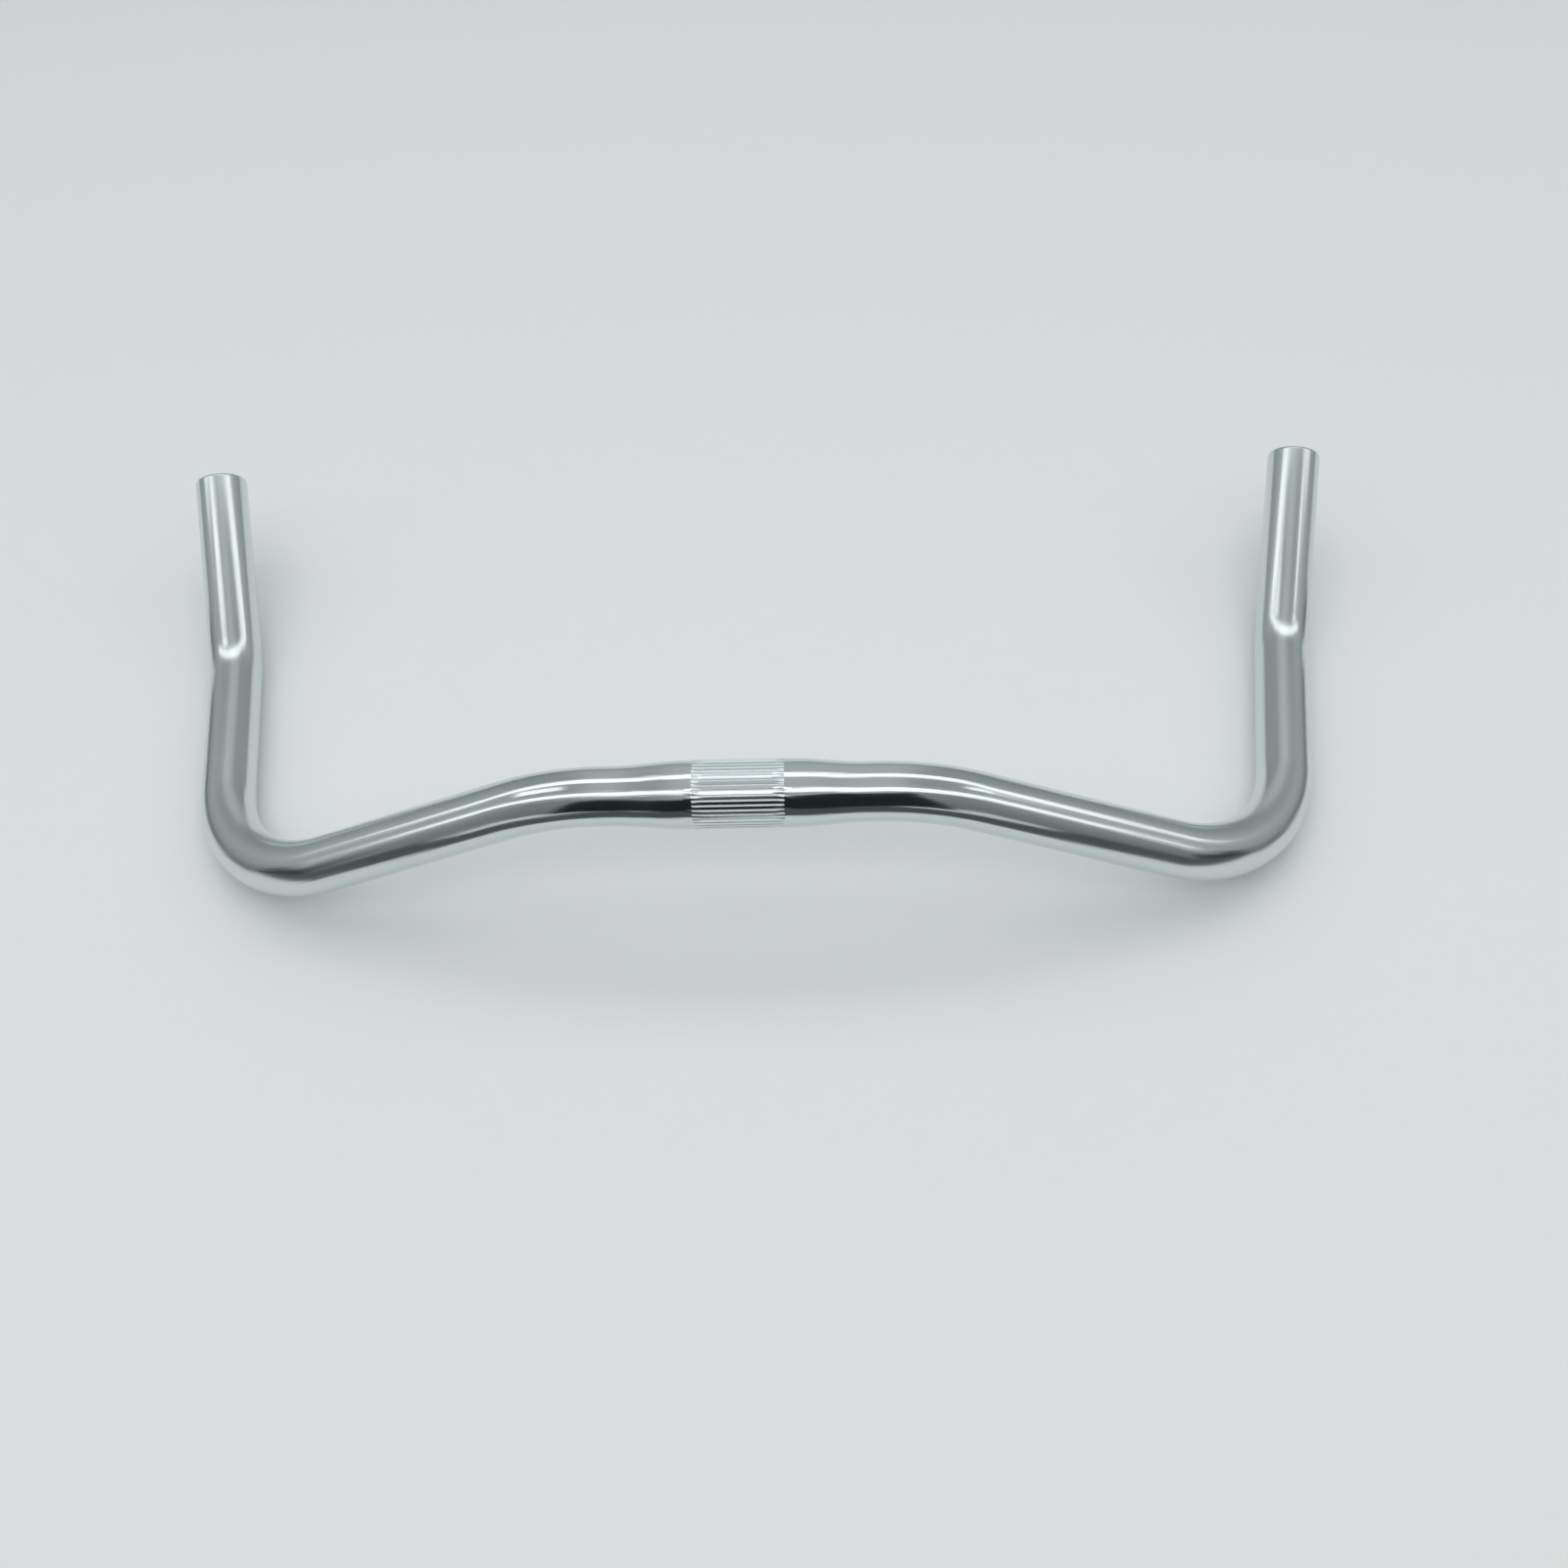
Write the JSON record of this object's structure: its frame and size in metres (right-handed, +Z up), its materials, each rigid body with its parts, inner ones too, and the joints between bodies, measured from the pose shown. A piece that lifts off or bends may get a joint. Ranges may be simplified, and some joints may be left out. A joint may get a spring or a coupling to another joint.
{
  "type": "bullhorn handlebar",
  "caption": "Polished tube handlebar with a thick knurled stem clamp, dropped tops, forward horns and raised open tips.",
  "frame": {"origin": "middle of the stem clamp, on the tube's centre line", "axes": "+X along the clamp to the rider's right, +Y forward along the horns, +Z up with both horns level"},
  "size_m": [0.4974, 0.22, 0.0886],
  "materials": {
    "polished_aluminium": "polished"
  },
  "bodies": {
    "root": {"handlebar": "polished_aluminium"}
  },
  "joints": []
}
